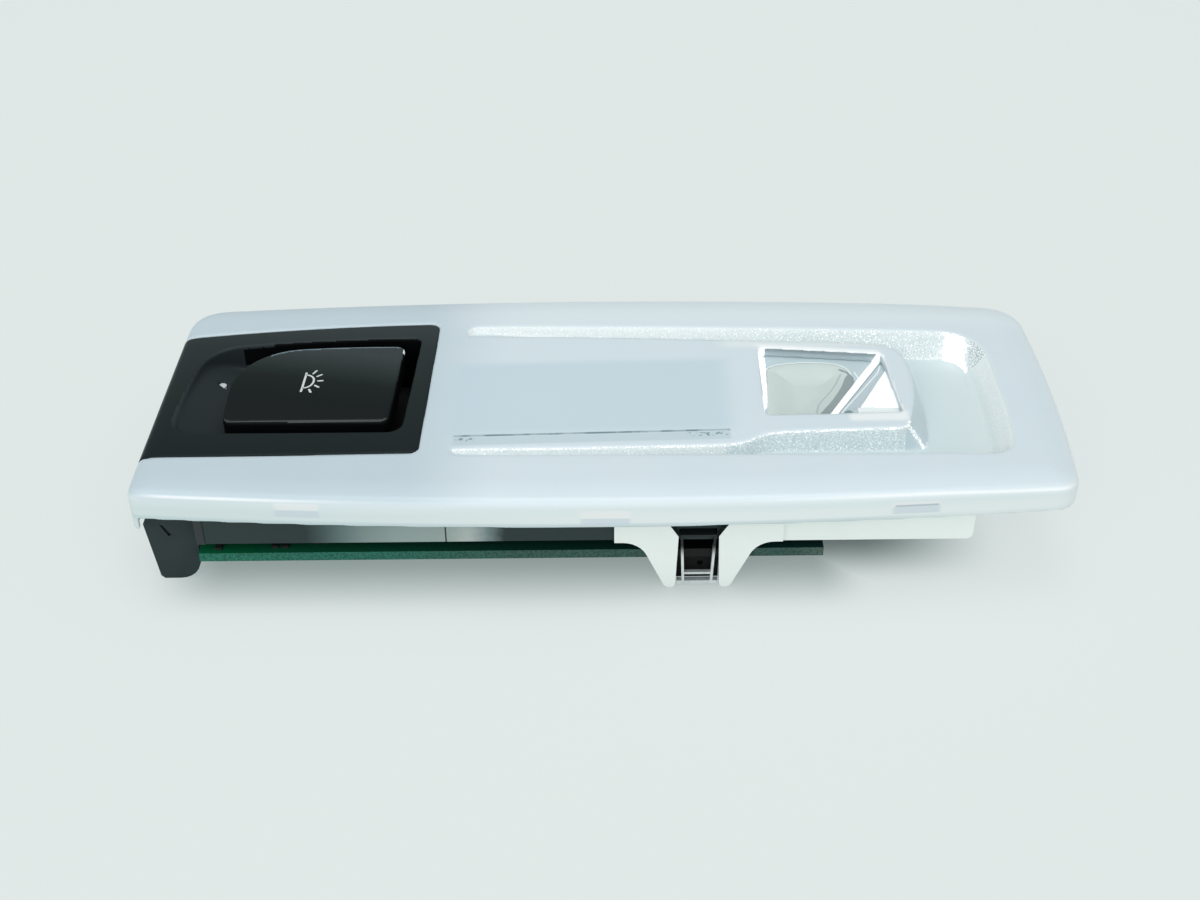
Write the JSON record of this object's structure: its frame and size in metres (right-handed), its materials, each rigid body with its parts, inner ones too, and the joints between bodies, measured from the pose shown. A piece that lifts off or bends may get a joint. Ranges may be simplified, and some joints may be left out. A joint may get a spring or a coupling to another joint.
{
  "type": "car dome light",
  "caption": "Long car roof lamp: milky recessed cover with a clear reading window, black tipping switch, split housings, circuit board, connector and spring clip towers.",
  "frame": {"origin": "under the middle of the lamp, in the plane of its feet", "axes": "+X along the lamp from the switch end to the window end, +Y to its far long side, +Z out of the visible face"},
  "size_m": [0.1834, 0.074, 0.0257],
  "materials": {
    "milky_cover": "milky, slightly translucent, smooth with pebbled recess walls",
    "clear_window": "clear polished plastic",
    "bezel_black": "black, satin",
    "button_black": "black, satin",
    "pin_steel": "ground",
    "light_pipe": "milky",
    "housing_grey": "dark grey, silvered towards one end",
    "bracket_black": "black, fine texture",
    "housing_silver": "metallised grey, dark at one end",
    "carrier_white": "white, satin",
    "diffuser_white": "bluish white",
    "metallised": "vacuum metallised",
    "spring_steel": "rolled",
    "backing_black": "black",
    "board_green": "green solder mask",
    "screw_steel": "zinc plated",
    "connector_black": "black",
    "contact_brass": "tinned",
    "switch_black": "black",
    "plunger_white": "white",
    "led_yellow": "pale yellow",
    "chip_black": "black",
    "resistor_black": "black with bright ends",
    "capacitor_tan": "tan",
    "ferrite": "dark grey"
  },
  "bodies": {
    "lamp": {"lens_cover": "milky_cover", "window_lens": "clear_window", "switch_bezel": "bezel_black", "hinge_pin": "pin_steel", "locator_guide": "light_pipe", "switch_housing": "housing_grey", "end_bracket": "bracket_black", "reflector_housing": "housing_silver", "carrier_frame": "carrier_white", "light_diffuser": "diffuser_white", "spot_reflector": "metallised", "spring_clip_near": "spring_steel", "spring_clip_far": "spring_steel", "clip_backing": "backing_black", "circuit_board": "board_green", "board_screws": "screw_steel", "connector_shell": "connector_black", "connector_pins": "contact_brass", "tact_switch": "switch_black", "spot_led": "led_yellow", "ambient_leds": "led_yellow", "locator_led": "led_yellow", "driver_chip": "chip_black", "chip_resistors": "resistor_black", "chip_capacitors": "capacitor_tan", "power_inductor": "ferrite"},
    "key": {"switch_button": "button_black"},
    "plunger": {"tact_plunger": "plunger_white"}
  },
  "joints": [
    {"name": "key_tip", "type": "hinge", "parent": "lamp", "child": "key", "pos_m": [-0.0484, 0, 0.0192], "axis": [0, -1, 0], "range_deg": [0, 2.5], "stiffness_Nm_per_rad": 1.2, "springref_deg": -0.29},
    {"name": "plunger_slide", "type": "slide", "parent": "lamp", "child": "plunger", "axis": [0, 0, -1], "range_m": [0, 0.0009]}
  ],
  "couplings": [
    {"joint": "plunger_slide", "follows": "key_tip", "m_per_rad": 0.0186}
  ]
}
